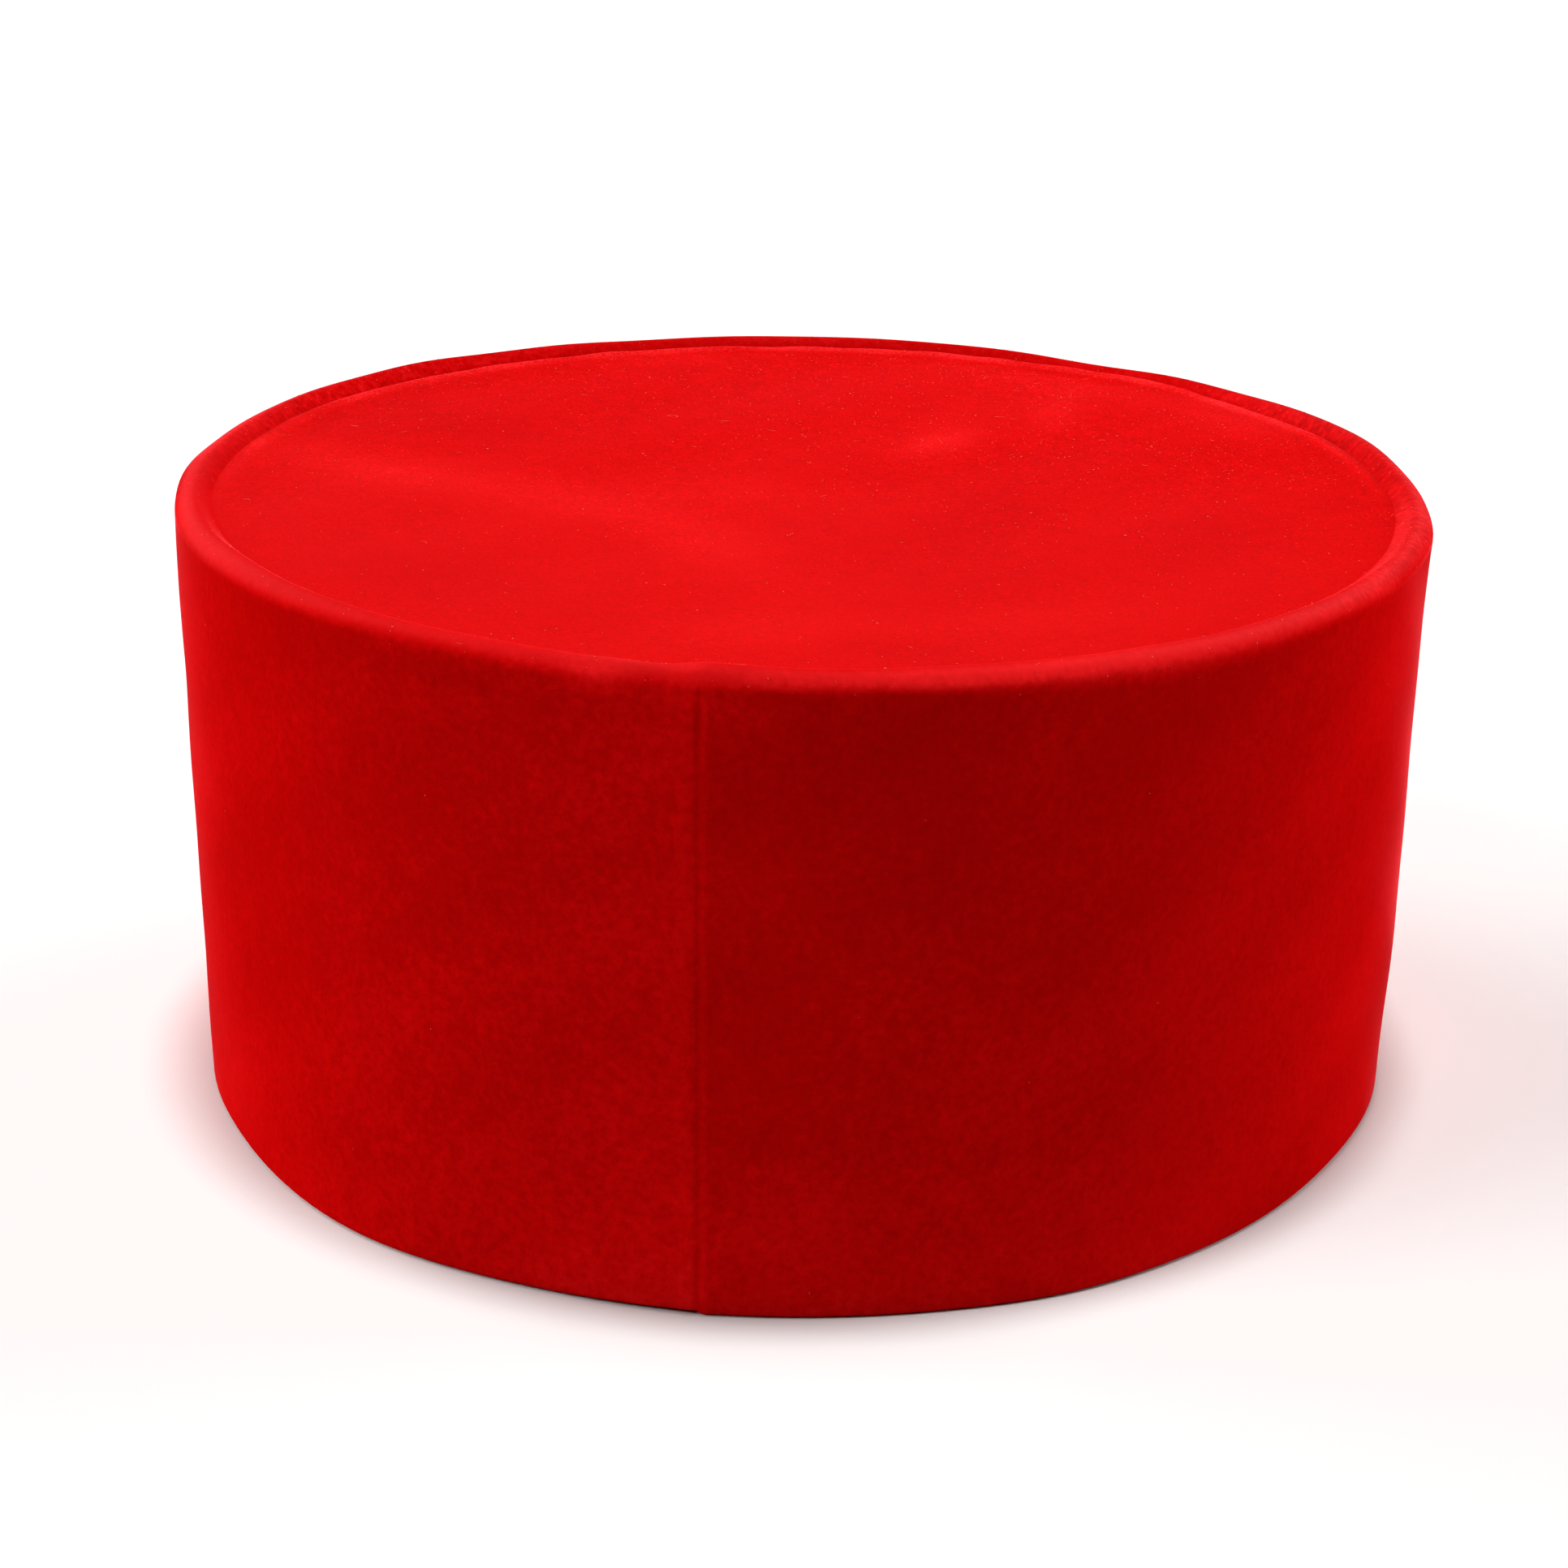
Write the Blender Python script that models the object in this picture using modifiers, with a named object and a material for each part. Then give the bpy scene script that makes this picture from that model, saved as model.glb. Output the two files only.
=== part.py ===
"""Oval velvet pillbox cap: a stiff side band with a rolled rim, closed by a recessed flat top.

The cap stands on its hem, in metres, with +Z up. The back seam is at -Y and the long axis of
the oval runs along Y. The origin is under the middle of the rim, in the plane of the hem.
"""
import math

import bmesh
import bpy
from mathutils import Matrix

# Driving sizes, in metres
HEM_WIDTH = 0.1760          # across the head, outside, at the hem
HEM_LENGTH = 0.2112         # front to back, outside, at the hem
HEIGHT = 0.0870             # hem to the crest of the rim
FLARE = 0.0032              # how far the wall leans out, all round, from hem to rim
SIDE_LEAN = 0.0015          # how far the rim has settled sideways, towards -X
WALL = 0.0025               # velvet, stiffener and backing together
HEM_FOLD = 0.0008           # radius of the two folds at the hem
RIM_RADIUS = 0.0026         # outer roll of the rim, from the wall to the crest
RIM_WIDTH = 0.0057          # wall face to the inner edge of the turned velvet
TOP_RECESS = 0.0016         # crest of the rim down to the face of the top
TOP_THICKNESS = 0.0020
TOP_EDGE = 0.0004           # rounding of the top's edge
SEAM_WIDTH = 0.0010         # the groove that the back seam leaves in the wall
FIT_GAP = 0.0003            # between the band and the top, all round

# Facets
OVAL_STEPS = 24             # per quarter of the oval
ARC_STEPS = 5               # per quarter turn of the section
WALL_STEPS = 4              # bands of faces up the wall

# The colour of the velvet, linear
VELVET = (0.72, 0.004, 0.006, 1.0)
VELVET_TOP = (0.80, 0.004, 0.006, 1.0)


def clear_scene():
    """Remove what a new file holds."""
    for item in list(bpy.data.objects):
        bpy.data.objects.remove(item, do_unlink=True)


def new_collection(name):
    """A collection in the scene, for the parts or for the guides."""
    group = bpy.data.collections.new(name)
    bpy.context.scene.collection.children.link(group)
    return group


def velvet(name, colour):
    """Matt pile cloth with a soft sheen at grazing angles."""
    material = bpy.data.materials.new(name)
    material.use_nodes = True
    shader = material.node_tree.nodes["Principled BSDF"]
    shader.inputs["Base Color"].default_value = colour
    shader.inputs["Roughness"].default_value = 0.9
    shader.inputs["Metallic"].default_value = 0.0
    shader.inputs["Sheen Weight"].default_value = 0.5
    return material


def guide(item, group):
    """Keep a cutter or a guide curve out of the part."""
    group.objects.link(item)
    item.hide_render = True
    item.display_type = "WIRE"


def settle(mesh):
    """Slide each level sideways in proportion to its height, so the rim stays over the origin."""
    mesh.transform(Matrix.Shear("XY", 4, (-SIDE_LEAN / HEIGHT, 0.0)))
    mesh.transform(Matrix.Translation((SIDE_LEAN, 0.0, 0.0)))


def quarter_arc(centre, width, height, start):
    """Points of a quarter ellipse, anticlockwise from an angle in degrees, both ends included."""
    points = []
    for step in range(ARC_STEPS + 1):
        angle = math.radians(start + 90.0 * step / ARC_STEPS)
        points.append((centre[0] + width * math.cos(angle), centre[1] + height * math.sin(angle)))
    return points


def straight(start, end, steps):
    """Points between two corners, without the corners themselves."""
    shares = [step / steps for step in range(1, steps)]
    return [(start[0] + (end[0] - start[0]) * s, start[1] + (end[1] - start[1]) * s) for s in shares]


def band_section():
    """Closed section through the band: (out from the hem line, up), anticlockwise.

    It runs from the hem up the outer face, over the rolled rim, along the velvet that is turned
    in over the top, back to the wall and down its inner face.
    """
    lip = HEIGHT - TOP_RECESS + FIT_GAP
    crest = FLARE - RIM_RADIUS
    lip_width = RIM_WIDTH - RIM_RADIUS
    inner_top = (FLARE * lip / HEIGHT - WALL, lip)
    outer_fold = quarter_arc((-HEM_FOLD, HEM_FOLD), HEM_FOLD, HEM_FOLD, -90.0)
    outer_roll = quarter_arc((crest, HEIGHT - RIM_RADIUS), RIM_RADIUS, RIM_RADIUS, 0.0)
    turned_in = quarter_arc((crest, lip), lip_width, HEIGHT - lip, 90.0)
    inner_fold = quarter_arc((HEM_FOLD - WALL, HEM_FOLD), HEM_FOLD, HEM_FOLD, 180.0)
    section = outer_fold + straight(outer_fold[-1], outer_roll[0], WALL_STEPS)
    section += outer_roll + turned_in[1:] + [inner_top]
    section += straight(inner_top, inner_fold[0], WALL_STEPS) + inner_fold
    return section


def oval_curve(name, half_width, half_length):
    """A closed oval in the plane of the hem, of four Bezier points on its axes."""
    curve = bpy.data.curves.new(name, "CURVE")
    curve.dimensions = "2D"
    curve.fill_mode = "NONE"
    curve.resolution_u = OVAL_STEPS
    spline = curve.splines.new("BEZIER")
    spline.bezier_points.add(3)
    spline.use_cyclic_u = True
    reach = 4.0 / 3.0 * math.tan(math.pi / 8.0)
    for step, point in enumerate(spline.bezier_points):
        x = round(math.cos(step * math.pi / 2.0))
        y = round(math.sin(step * math.pi / 2.0))
        point.co = (x * half_width, y * half_length, 0.0)
        point.handle_left = ((x + y * reach) * half_width, (y - x * reach) * half_length, 0.0)
        point.handle_right = ((x - y * reach) * half_width, (y + x * reach) * half_length, 0.0)
    return curve


def section_curve(name, section):
    """The band's section as a closed outline. The sweep's own X points to the middle of the oval."""
    curve = bpy.data.curves.new(name, "CURVE")
    curve.dimensions = "2D"
    curve.fill_mode = "NONE"
    spline = curve.splines.new("POLY")
    spline.points.add(len(section) - 1)
    for point, (out, up) in zip(spline.points, section):
        point.co = (-out, up, 0.0, 1.0)
    spline.use_cyclic_u = True
    return curve


def swept_mesh(name, guides):
    """Carry the band's section round the oval of the hem and return the closed mesh."""
    outline = bpy.data.objects.new("band_section", section_curve("band_section", band_section()))
    guide(outline, guides)
    path = oval_curve("hem_line", HEM_WIDTH / 2.0, HEM_LENGTH / 2.0)
    path.bevel_mode = "OBJECT"
    path.bevel_object = outline
    sweep = bpy.data.objects.new("hem_line", path)
    guides.objects.link(sweep)
    graph = bpy.context.evaluated_depsgraph_get()
    mesh = bpy.data.meshes.new_from_object(sweep.evaluated_get(graph))
    mesh.name = name
    bpy.data.objects.remove(sweep, do_unlink=True)
    work = bmesh.new()
    work.from_mesh(mesh)
    bmesh.ops.remove_doubles(work, verts=work.verts, dist=0.00001)
    bmesh.ops.recalc_face_normals(work, faces=work.faces)
    work.to_mesh(mesh)
    work.free()
    return mesh


def seam_cutter(guides):
    """A square bar on edge, sunk by half into the wall at the back, along the slope of the wall."""
    slope = math.atan2(FLARE, HEIGHT)
    length = HEIGHT / math.cos(slope)
    side = SEAM_WIDTH / math.sqrt(2.0)
    work = bmesh.new()
    bmesh.ops.create_cube(work, size=1.0, matrix=Matrix.Diagonal((side, side, 2.0 * length, 1.0)))
    bmesh.ops.rotate(work, verts=work.verts, matrix=Matrix.Rotation(math.pi / 4.0, 3, "Z"))
    bmesh.ops.rotate(work, verts=work.verts, matrix=Matrix.Rotation(slope, 3, "X"))
    bmesh.ops.translate(work, verts=work.verts, vec=(0.0, -HEM_LENGTH / 2.0, 0.0))
    mesh = bpy.data.meshes.new("seam_cutter")
    work.to_mesh(mesh)
    work.free()
    settle(mesh)
    cutter = bpy.data.objects.new("seam_cutter", mesh)
    guide(cutter, guides)
    return cutter


def shade_round(mesh):
    """Smooth shading on the round stretches, sharp at the corners of the section."""
    mesh.shade_smooth()
    mesh.set_sharp_from_angle(angle=math.radians(40.0))


def build_side_band(parts, guides):
    """The wall, its hem, the rolled rim and the velvet turned in over the top, as one piece."""
    mesh = swept_mesh("side_band", guides)
    settle(mesh)
    mesh.materials.append(velvet("velvet_band", VELVET))
    shade_round(mesh)
    band = bpy.data.objects.new("side_band", mesh)
    parts.objects.link(band)
    groove = band.modifiers.new("back_seam", "BOOLEAN")
    groove.operation = "DIFFERENCE"
    groove.solver = "EXACT"
    groove.object = seam_cutter(guides)
    return band


def build_crown_top(parts):
    """The flat oval top, tucked under the turned velvet with its edge inside the wall."""
    face = HEIGHT - TOP_RECESS
    reach = FLARE * (face - TOP_THICKNESS) / HEIGHT - WALL - FIT_GAP
    half_width = HEM_WIDTH / 2.0 + reach
    half_length = HEM_LENGTH / 2.0 + reach
    work = bmesh.new()
    bmesh.ops.create_cone(work, cap_ends=True, segments=4 * OVAL_STEPS, radius1=1.0, radius2=1.0,
                          depth=1.0, matrix=Matrix.Diagonal((half_width, half_length, TOP_THICKNESS, 1.0)))
    bmesh.ops.translate(work, verts=work.verts, vec=(0.0, 0.0, face - TOP_THICKNESS / 2.0))
    mesh = bpy.data.meshes.new("crown_top")
    work.to_mesh(mesh)
    work.free()
    settle(mesh)
    mesh.materials.append(velvet("velvet_top", VELVET_TOP))
    shade_round(mesh)
    top = bpy.data.objects.new("crown_top", mesh)
    parts.objects.link(top)
    edge = top.modifiers.new("edge", "BEVEL")
    edge.width = TOP_EDGE
    edge.segments = 2
    edge.limit_method = "ANGLE"
    edge.angle_limit = math.radians(40.0)
    return top


def main():
    clear_scene()
    parts = new_collection("masonic_cap")
    guides = new_collection("guides")
    build_side_band(parts, guides)
    build_crown_top(parts)


main()
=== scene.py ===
import math

import bpy
import numpy as np
from mathutils import Matrix, Vector


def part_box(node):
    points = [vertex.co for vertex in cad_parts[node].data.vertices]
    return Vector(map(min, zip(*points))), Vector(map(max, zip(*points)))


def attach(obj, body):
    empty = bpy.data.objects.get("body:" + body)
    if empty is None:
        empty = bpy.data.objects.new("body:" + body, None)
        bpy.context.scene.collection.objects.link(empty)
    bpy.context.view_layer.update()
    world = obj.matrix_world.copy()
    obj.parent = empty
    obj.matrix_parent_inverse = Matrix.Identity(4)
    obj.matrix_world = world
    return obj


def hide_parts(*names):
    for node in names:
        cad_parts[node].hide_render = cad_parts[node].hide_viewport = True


# Oval pillbox cap of red cotton velvet. The solids give the sizes, and this script gives the looks:
# the velvet of the band and of the top, with the nap brushed in patches, the sewn back seam and some lint.
# The seam and the camera are at -Y. The far side is at +Y, right of the seam is +X and left of it -X.
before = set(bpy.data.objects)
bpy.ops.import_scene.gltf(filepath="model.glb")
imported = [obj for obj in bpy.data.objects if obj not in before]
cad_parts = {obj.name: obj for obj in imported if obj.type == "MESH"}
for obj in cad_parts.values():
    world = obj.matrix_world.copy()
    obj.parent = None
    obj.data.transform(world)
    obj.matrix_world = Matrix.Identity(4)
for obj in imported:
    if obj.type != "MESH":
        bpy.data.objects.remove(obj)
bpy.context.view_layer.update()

mm = 0.001  # the scene is in metres, and the sizes below are written in millimetres
bandLow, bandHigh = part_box("side_band")
topLow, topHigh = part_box("crown_top")


# Camera

cameraSet = {
    "distance": 610.4 * mm,  # lens to the middle of the hem
    "elevation": 20.95,      # degrees above the table
    "azimuth": 7.0,          # degrees to the right of the seam
    "yaw": -0.367,           # the aim, degrees right of the middle of the hem
    "pitch": 17.457,         # the aim, degrees below level
    "roll": 1.909,           # degrees
    "lens": 90.776,          # millimetres, on a square picture 36 mm wide
}


def placeCamera(look, centre):
    # The eye is at a distance, elevation and azimuth from the middle of the hem. The aim is a yaw and a
    # pitch from level, and the roll turns the picture's right and up about the aim.
    rise, yaw, pitch, roll = [math.radians(look[name]) for name in ("elevation", "yaw", "pitch", "roll")]
    turn = Matrix.Rotation(math.radians(look["azimuth"]), 3, "Z")
    eye = centre + turn @ Vector((0.0, -math.cos(rise), math.sin(rise))) * look["distance"]
    aim = turn @ Vector((math.sin(yaw) * math.cos(pitch), math.cos(yaw) * math.cos(pitch), -math.sin(pitch)))
    level = turn @ Vector((math.cos(yaw), -math.sin(yaw), 0.0))
    above = level.cross(aim)
    right = math.cos(roll) * level + math.sin(roll) * above
    up = math.cos(roll) * above - math.sin(roll) * level
    data = bpy.data.cameras.new("camera")
    data.sensor_width = 36.0
    data.lens = look["lens"]
    data.clip_start = 0.01
    data.clip_end = 50.0
    camera = bpy.data.objects.new("camera", data)
    bpy.context.scene.collection.objects.link(camera)
    pose = Matrix((right, up, -aim)).transposed().to_4x4()
    pose.translation = eye
    camera.matrix_world = pose
    bpy.context.scene.camera = camera


# Sizes of the cap, worked out from the solids

capSet = {
    "flare": 3.2 * mm,      # the wall leans out by this from hem to rim
    "wall": 2.5 * mm,       # velvet, stiffener and backing
    "hemFold": 0.8 * mm,
    "roll": 2.6 * mm,       # outer roll of the rim
    "rimWidth": 5.7 * mm,   # outer face to where the turned velvet meets the top
    "sideLean": 1.5 * mm,   # the rim has settled by this towards -X
    "bite": 0.3 * mm,       # how deep the turned velvet presses into the top at the far side
    "softBite": 0.04 * mm,  # the same at the two sides and by the seam
}
rimHalfWidth = (bandHigh.x - bandLow.x) / 2.0
rimHalfLength = bandHigh.y
capSet["height"] = bandHigh.z
capSet["topFace"] = topHigh.z
capSet["topThickness"] = topHigh.z - topLow.z
capSet["hemHalfWidth"] = rimHalfWidth - capSet["flare"]
capSet["hemHalfLength"] = rimHalfLength - capSet["flare"]
hemCentre = Vector((capSet["sideLean"], 0.0, 0.0))
placeCamera(cameraSet, hemCentre)
print("camera placed")


# Small helpers

def linear(hexColour):
    # The sRGB curve undone: below 0.04045 a straight line, above it a power of 2.4
    parts = np.array([int(hexColour[i:i + 2], 16) for i in (1, 3, 5)]) / 255.0
    light = np.where(parts <= 0.04045, parts / 12.92, ((parts + 0.055) / 1.055) ** 2.4)
    return (*light.tolist(), 1.0)


def setNode(tree, node, settings, links=()):
    # A node's settings by property name or by input name or number, and its links as (input, output)
    for name, value in settings.items():
        if isinstance(name, int) or name in node.inputs:
            node.inputs[name].default_value = value
        else:
            setattr(node, name, value)
    for name, source in links:
        tree.links.new(source, node.inputs[name])
    return node


def addNode(tree, kind, settings, links=()):
    # One new node with its settings and links
    return setNode(tree, tree.nodes.new(kind), settings, links)


def newMaterial(name):
    # A material, its node tree and the shader that the tree ends in
    material = bpy.data.materials.new(name)
    material.use_nodes = True
    return material, material.node_tree, material.node_tree.nodes["Principled BSDF"]


def bell(distance, width):
    # A smooth bump: e to the minus square of distance over width
    return np.exp(-(distance / width) ** 2)


def ease(value, low, high):
    # 0 below low, 1 above high, and a smooth S between them; low and high may be arrays too
    t = np.clip((value - low) / (high - low), 0.0, 1.0)
    return t * t * (3.0 - 2.0 * t)


def waves(rng, phase, orders, strength):
    # A sum of sines that closes on itself round the cap, one for each order, with random phases
    total = 0.0
    for order in orders:
        total = total + np.sin(order * phase + rng.uniform(0.0, 2.0 * math.pi))
    return strength * total / math.sqrt(len(orders))


def named(columns, table):
    # The rows of a table with their columns named
    return [dict(zip(columns, row)) for row in table]


# What changes round the cap stands in tables. Facing is the way the wall faces, in degrees to the right of
# the seam. A bump has a middle and a half length, a ramp its side and where it starts and is full, and a
# patch its middle and half lengths, round the cap and across it.
bumpColumns = ("facing", "wide", "amount")
rampColumns = ("side", "start", "full", "amount")
patchColumns = ("facing", "across", "wide", "long", "amount")


def bellRound(facing, middle, width):
    # A smooth bump round the cap, the distance counted in degrees the shorter way
    return bell((facing - middle + 180.0) % 360.0 - 180.0, width)


def roundCap(facing, even=0.0, bumps=(), ramps=()):
    # An even value, plus the amount of each bump times its bell, and of each ramp times its ease
    total = np.full(facing.shape, even)
    for bump in named(bumpColumns, bumps):
        total += bump["amount"] * bellRound(facing, bump["facing"], bump["wide"])
    sides = {"right": facing, "left": -facing, "both": np.abs(facing)}
    for ramp in named(rampColumns, ramps):
        total += ramp["amount"] * ease(sides[ramp["side"]], ramp["start"], ramp["full"])
    return total


def patched(table, facing, across):
    # The sum of a table's patches: each one's amount times its bells round the cap and across it
    total = np.zeros(np.broadcast_shapes(facing.shape, across.shape))
    for patch in named(patchColumns, table):
        shape = bellRound(facing, patch["facing"], patch["wide"])
        total += patch["amount"] * shape * bell(across - patch["across"], patch["long"])
    return total


def newPiece(name, points, faces, material):
    # A smooth-shaded mesh object from arrays of points and faces, standing at the origin
    mesh = bpy.data.meshes.new(name)
    mesh.from_pydata(points.tolist(), [], faces)
    mesh.shade_smooth()
    mesh.materials.append(material)
    piece = bpy.data.objects.new(name, mesh)
    bpy.context.scene.collection.objects.link(piece)
    return piece


def addBacking(piece, material, chosen, across, along):
    # A second material for the chosen faces, and a UV map in metres that its weave follows. Across and
    # along hold the distances at the corners of each face.
    piece.data.materials.append(material)
    piece.data.polygons.foreach_set("material_index", chosen.astype(np.int32))
    cloth = piece.data.uv_layers.new(name="cloth")
    cloth.uv.foreach_set("vector", np.stack([across, along], -1).astype(np.float32).ravel())


def addValues(piece, name, values):
    # One number for each point, as an attribute that the velvet reads: napAndPaintedLight runs from -1, dark,
    # to 1, pale, for the lie of the pile and for painted light and shade, grain is how far the tufts show,
    # and paintedSheen how much painted sheen is mixed in
    layer = piece.data.attributes.new(name, "FLOAT", "POINT")
    layer.data.foreach_set("value", values.astype(np.float32).ravel())


# Materials

velvetSet = {
    "sheenTint": "#FF5A62",
    "sheen": 0.8,
    "sheenRoughness": 0.15,
    "napShare": 0.5,          # how much of the tone follows the lie of the pile and the painted light and shade
    "paintedSheen": "#FF8088",       # painted sheen, a pale pink mixed into the velvet
    "tuftHeight": 0.12 * mm,  # relief of the single tufts
    "tuftRelief": 0.25,
}
# Noise in the pile: size, and its share of the tone on the band and on the top
pileColumns = ("size", "band", "top")
pileLayers = (
    (45.0 * mm, 0.08, 0.08),  # patches left by handling
    (4.0 * mm, 0.20, 0.20),   # tufts leaning together
    (1.1 * mm, 0.44, 0.24),   # clumps of tufts
    (0.45 * mm, 0.20, 0.90),  # single tufts are 0.2 mm, drawn coarser so that they show
)
# The five colours run from pile seen end on, through even pile, to pile laid over and pile crushed flat
toneSteps = (0.2, 0.5, 0.66, 0.8, 1.0)
# The band's colours are darker than the top's though it is the same velvet: a shaded copy for the steep band,
# painted shade, and a lit copy for the flat top, painted light.
bandShadedColours = ("#8B0101", "#A70202", "#BE0405", "#CE0D0F", "#EF1B1D")
topLitColours = ("#AC0404", "#C30505", "#D00606", "#DC0C0D", "#F21E21")


def velvetMaterial(name, colours, look, surface):
    # Cotton velvet: a cut pile woven into a ground cloth. It has no gloss and shines faintly at grazing
    # angles. Its tone, dark to pale, is painted by attribute: the lie of the pile, painted light and shade,
    # and painted sheen.
    material, tree, shader = newMaterial(name)
    place = addNode(tree, "ShaderNodeTexCoord", {}).outputs["Object"]
    napAndPaintedLight, grain, paintedSheen = [addNode(tree, "ShaderNodeAttribute", {"attribute_name": value}).outputs["Fac"]
                         for value in ("napAndPaintedLight", "grain", "paintedSheen")]
    layers = named(pileColumns, pileLayers)
    # noise is 0.5 on average, so the sum starts at minus half of all the shares
    start = -0.5 * sum(layer[surface] for layer in layers)
    uneven = None
    for layer in layers:
        settings = {"Scale": 1.0 / layer["size"], "Detail": 2.0, "Roughness": 0.5}
        noise = addNode(tree, "ShaderNodeTexNoise", settings, [("Vector", place)])
        settings = {"operation": "MULTIPLY_ADD", 1: layer[surface], 2: start}
        links = [(0, noise.outputs["Fac"])] + ([(2, uneven)] if uneven else [])
        uneven = addNode(tree, "ShaderNodeMath", settings, links).outputs[0]
    settings = {"operation": "MULTIPLY_ADD", 1: look["napShare"], 2: 0.5}
    even = addNode(tree, "ShaderNodeMath", settings, [(0, napAndPaintedLight)])
    tone = addNode(tree, "ShaderNodeMath", {"operation": "MULTIPLY_ADD"},
                   [(0, uneven), (1, grain), (2, even.outputs[0])])
    ramp = addNode(tree, "ShaderNodeValToRGB", {}, [("Fac", tone.outputs[0])])
    stops = ramp.color_ramp.elements
    stops.remove(stops[1])
    stops[0].position = toneSteps[0]
    stops[0].color = linear(colours[0])
    for step, colour in zip(toneSteps[1:], colours[1:]):
        stops.new(step).color = linear(colour)
    # painted sheen: a pale pink mixed in by its attribute
    colour = addNode(tree, "ShaderNodeMix", {"data_type": "RGBA", "B": linear(look["paintedSheen"])},
                     [("Factor", paintedSheen), ("A", ramp.outputs["Color"])])
    # the last noise is that of the single tufts
    relief = {"Strength": look["tuftRelief"], "Distance": look["tuftHeight"]}
    pile = addNode(tree, "ShaderNodeBump", relief, [("Height", noise.outputs["Fac"])])
    setNode(tree, shader, {
        "Roughness": 1.0,
        "Metallic": 0.0,
        "IOR": 1.53,
        "Specular IOR Level": 0.0,
        "Sheen Weight": look["sheen"],
        "Sheen Roughness": look["sheenRoughness"],
        "Sheen Tint": linear(look["sheenTint"]),
    }, [("Base Color", colour.outputs["Result"]), ("Normal", pile.outputs["Normal"])])
    return material


weaveSet = {
    "thread": 0.8 * mm,      # threads are 0.5 mm apart, drawn coarser so that they show
    "threadHeight": 0.1 * mm,
    "threadRelief": 0.4,
    "pale": "#A3262A",
    "dark": "#6E0F12",
}


def wovenMaterial(name, look):
    # The ground cloth of the velvet seen from behind: plain woven cotton, dyed with it, matt and duller
    # than the pile. Two crossed sets of bands, one for each set of threads.
    material, tree, shader = newMaterial(name)
    place = addNode(tree, "ShaderNodeUVMap", {"uv_map": "cloth"}).outputs["UV"]
    # a wave texture of scale one repeats each 2 pi / 20
    scale = 2.0 * math.pi / (20.0 * look["thread"])
    threads = []
    for axis in ("X", "Y"):
        settings = {"bands_direction": axis, "Scale": scale, "Distortion": 0.0}
        threads.append(addNode(tree, "ShaderNodeTexWave", settings, [("Vector", place)]).outputs["Fac"])
    both = addNode(tree, "ShaderNodeMath", {"operation": "ADD"}, [(0, threads[0]), (1, threads[1])])
    ramp = addNode(tree, "ShaderNodeValToRGB", {}, [("Fac", both.outputs[0])])
    ramp.color_ramp.elements[0].position = 0.3
    ramp.color_ramp.elements[0].color = linear(look["dark"])
    ramp.color_ramp.elements[1].color = linear(look["pale"])
    settings = {"Strength": look["threadRelief"], "Distance": look["threadHeight"]}
    relief = addNode(tree, "ShaderNodeBump", settings, [("Height", both.outputs[0])])
    setNode(tree, shader, {
        "Roughness": 0.95,
        "Metallic": 0.0,
        "IOR": 1.53,
        "Specular IOR Level": 0.1,
    }, [("Base Color", ramp.outputs["Color"]), ("Normal", relief.outputs["Normal"])])
    return material


lintColours = {
    "pale": "#F27C68",
    "dark": "#DA3E34",
    "patch": 3.0 * mm,       # size of its paler and darker places
}


def lintMaterial(name, look):
    # Cotton lint: loose undyed fibres that have taken on some of the red around them, matt and uneven
    material, tree, shader = newMaterial(name)
    place = addNode(tree, "ShaderNodeTexCoord", {}).outputs["Object"]
    settings = {"Scale": 1.0 / look["patch"], "Detail": 1.0}
    noise = addNode(tree, "ShaderNodeTexNoise", settings, [("Vector", place)])
    ramp = addNode(tree, "ShaderNodeValToRGB", {}, [("Fac", noise.outputs["Fac"])])
    ramp.color_ramp.elements[0].position = 0.35
    ramp.color_ramp.elements[0].color = linear(look["dark"])
    ramp.color_ramp.elements[1].position = 0.65
    ramp.color_ramp.elements[1].color = linear(look["pale"])
    settings = {"Roughness": 0.9, "Specular IOR Level": 0.1}
    setNode(tree, shader, settings, [("Base Color", ramp.outputs["Color"])])
    return material


def paperMaterial(name, colour):
    # Matt background paper: even, pale and without gloss
    material, tree, shader = newMaterial(name)
    setNode(tree, shader, {"Base Color": linear(colour), "Roughness": 1.0, "Specular IOR Level": 0.0})
    return material


# The velvet band: one closed surface carried round the oval of the hem

bandSet = {
    "fineColumn": 0.125 * mm,   # spacing of the columns at the seam
    "columnGrowth": 0.08,       # by how much it grows with each unit of distance from the seam
    "coarseColumn": 3.0 * mm,
    "fineReach": 2.0 * mm,
    "wallRow": 0.35 * mm,
    "rollRows": 20,
    "turnedRows": 16,
    "turnedPower": 1.7,
    "innerRows": 10,
    "hemRows": 3,
    "hemTurn": 10.0 * mm,       # the velvet is turned in at the hem by this
    "hemProud": 0.4 * mm,       # and lies this far proud of the backing
    "foldRows": 5,
    "seed": 11,
    "wallWave": 0.12 * mm,      # how far the wall swells and sinks
    "wallWaves": (3, 5, 7),     # in so many waves round the cap
    "wallRipples": (11, 17),    # and in these at half of that
    "rollWave": 0.10 * mm,      # the same for the rim
    "rollWaves": (6, 13, 22),
    "stepTall": 12.0 * mm,      # the hem's step at the seam fades by this height
    # 1 where the turned velvet lies down softly on the top, 0 where it ends steep
    "soft": {"even": 1.0, "ramps": (("both", 106, 142, -1.0),)},
    "hemPoints": 6001,          # points of the oval that the columns are laid out on
}
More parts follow.
